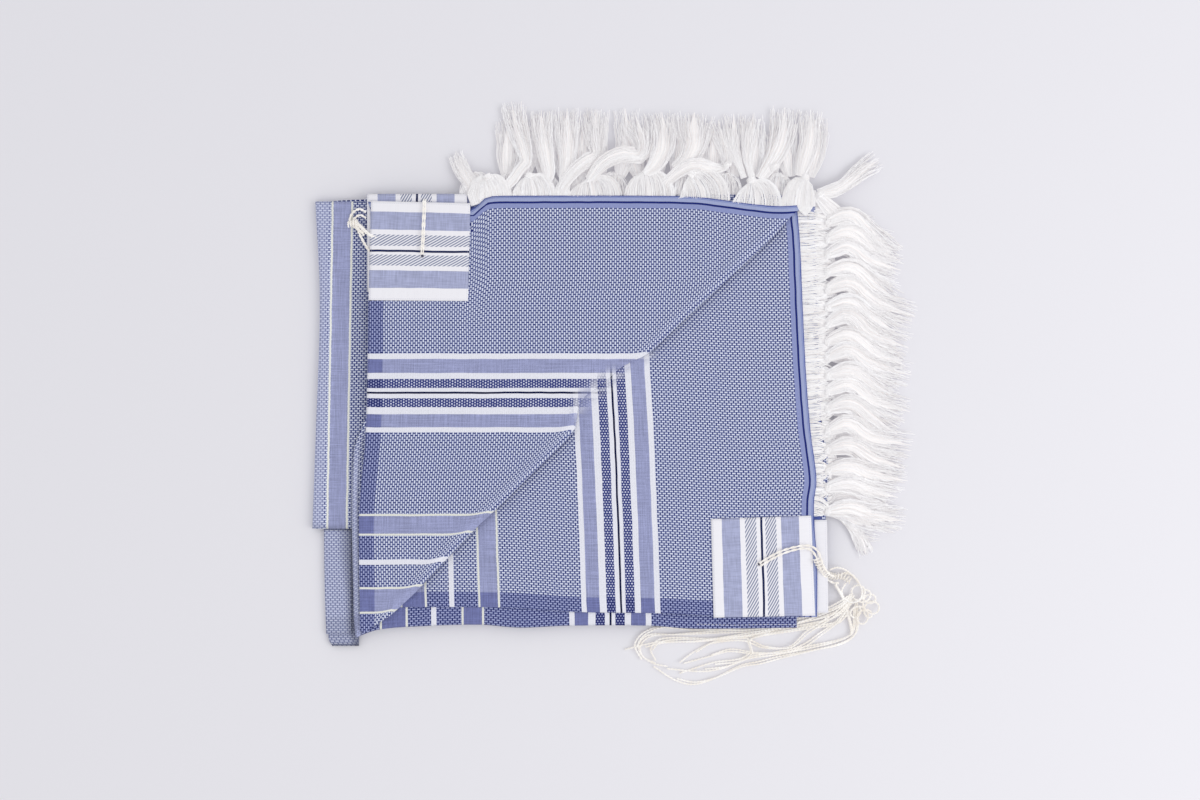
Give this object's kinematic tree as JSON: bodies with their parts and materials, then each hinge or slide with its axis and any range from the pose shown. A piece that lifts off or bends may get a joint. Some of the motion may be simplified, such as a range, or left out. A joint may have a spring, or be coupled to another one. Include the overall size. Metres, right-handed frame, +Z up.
{
  "type": "folded tallit prayer shawl",
  "caption": "Folded tallit of blue basket-weave cotton with white and violet stripes, mitred at the fringed corner, with corner patches, tassel fringe and knotted strings.",
  "frame": {"origin": "on the surface the shawl rests on, under the centre of the box round the folded cloth and its fringe (the corner strings are not counted)", "axes": "+Z up out of the surface, +X right towards the side with the fringe, +Y back towards the other fringed edge"},
  "size_m": [0.605, 0.5909, 0.0203],
  "materials": {
    "shawl_cloth": "matte basket weave, blue and white yarns, white and violet stripes",
    "selvedge_cloth": "matte basket weave, darker blue at the selvedge",
    "patch_cloth": "matte plain weave, striped",
    "fringe_yarn": "matte twisted white cotton",
    "string_yarn": "matte twisted cream wool"
  },
  "bodies": {
    "root": {"hidden_folds": "shawl_cloth", "left_fold_upper": "shawl_cloth", "left_fold_lower": "shawl_cloth", "left_fold_lower_inner": "shawl_cloth", "end_panel_under": "selvedge_cloth", "end_panel_inner_turn": "shawl_cloth", "end_panel_side": "shawl_cloth", "end_panel_top": "shawl_cloth", "patch_upper": "patch_cloth", "patch_upper_under": "patch_cloth", "patch_lower": "patch_cloth", "patch_lower_under": "patch_cloth", "fringe_back": "fringe_yarn", "fringe_right": "fringe_yarn", "fringe_back_under": "fringe_yarn", "fringe_right_under": "fringe_yarn", "string_right_lead": "string_yarn", "string_upper_lead": "string_yarn", "string_left_loop": "string_yarn", "string_left_tail": "string_yarn", "string_knots": "string_yarn", "string_strands": "string_yarn"}
  },
  "joints": []
}
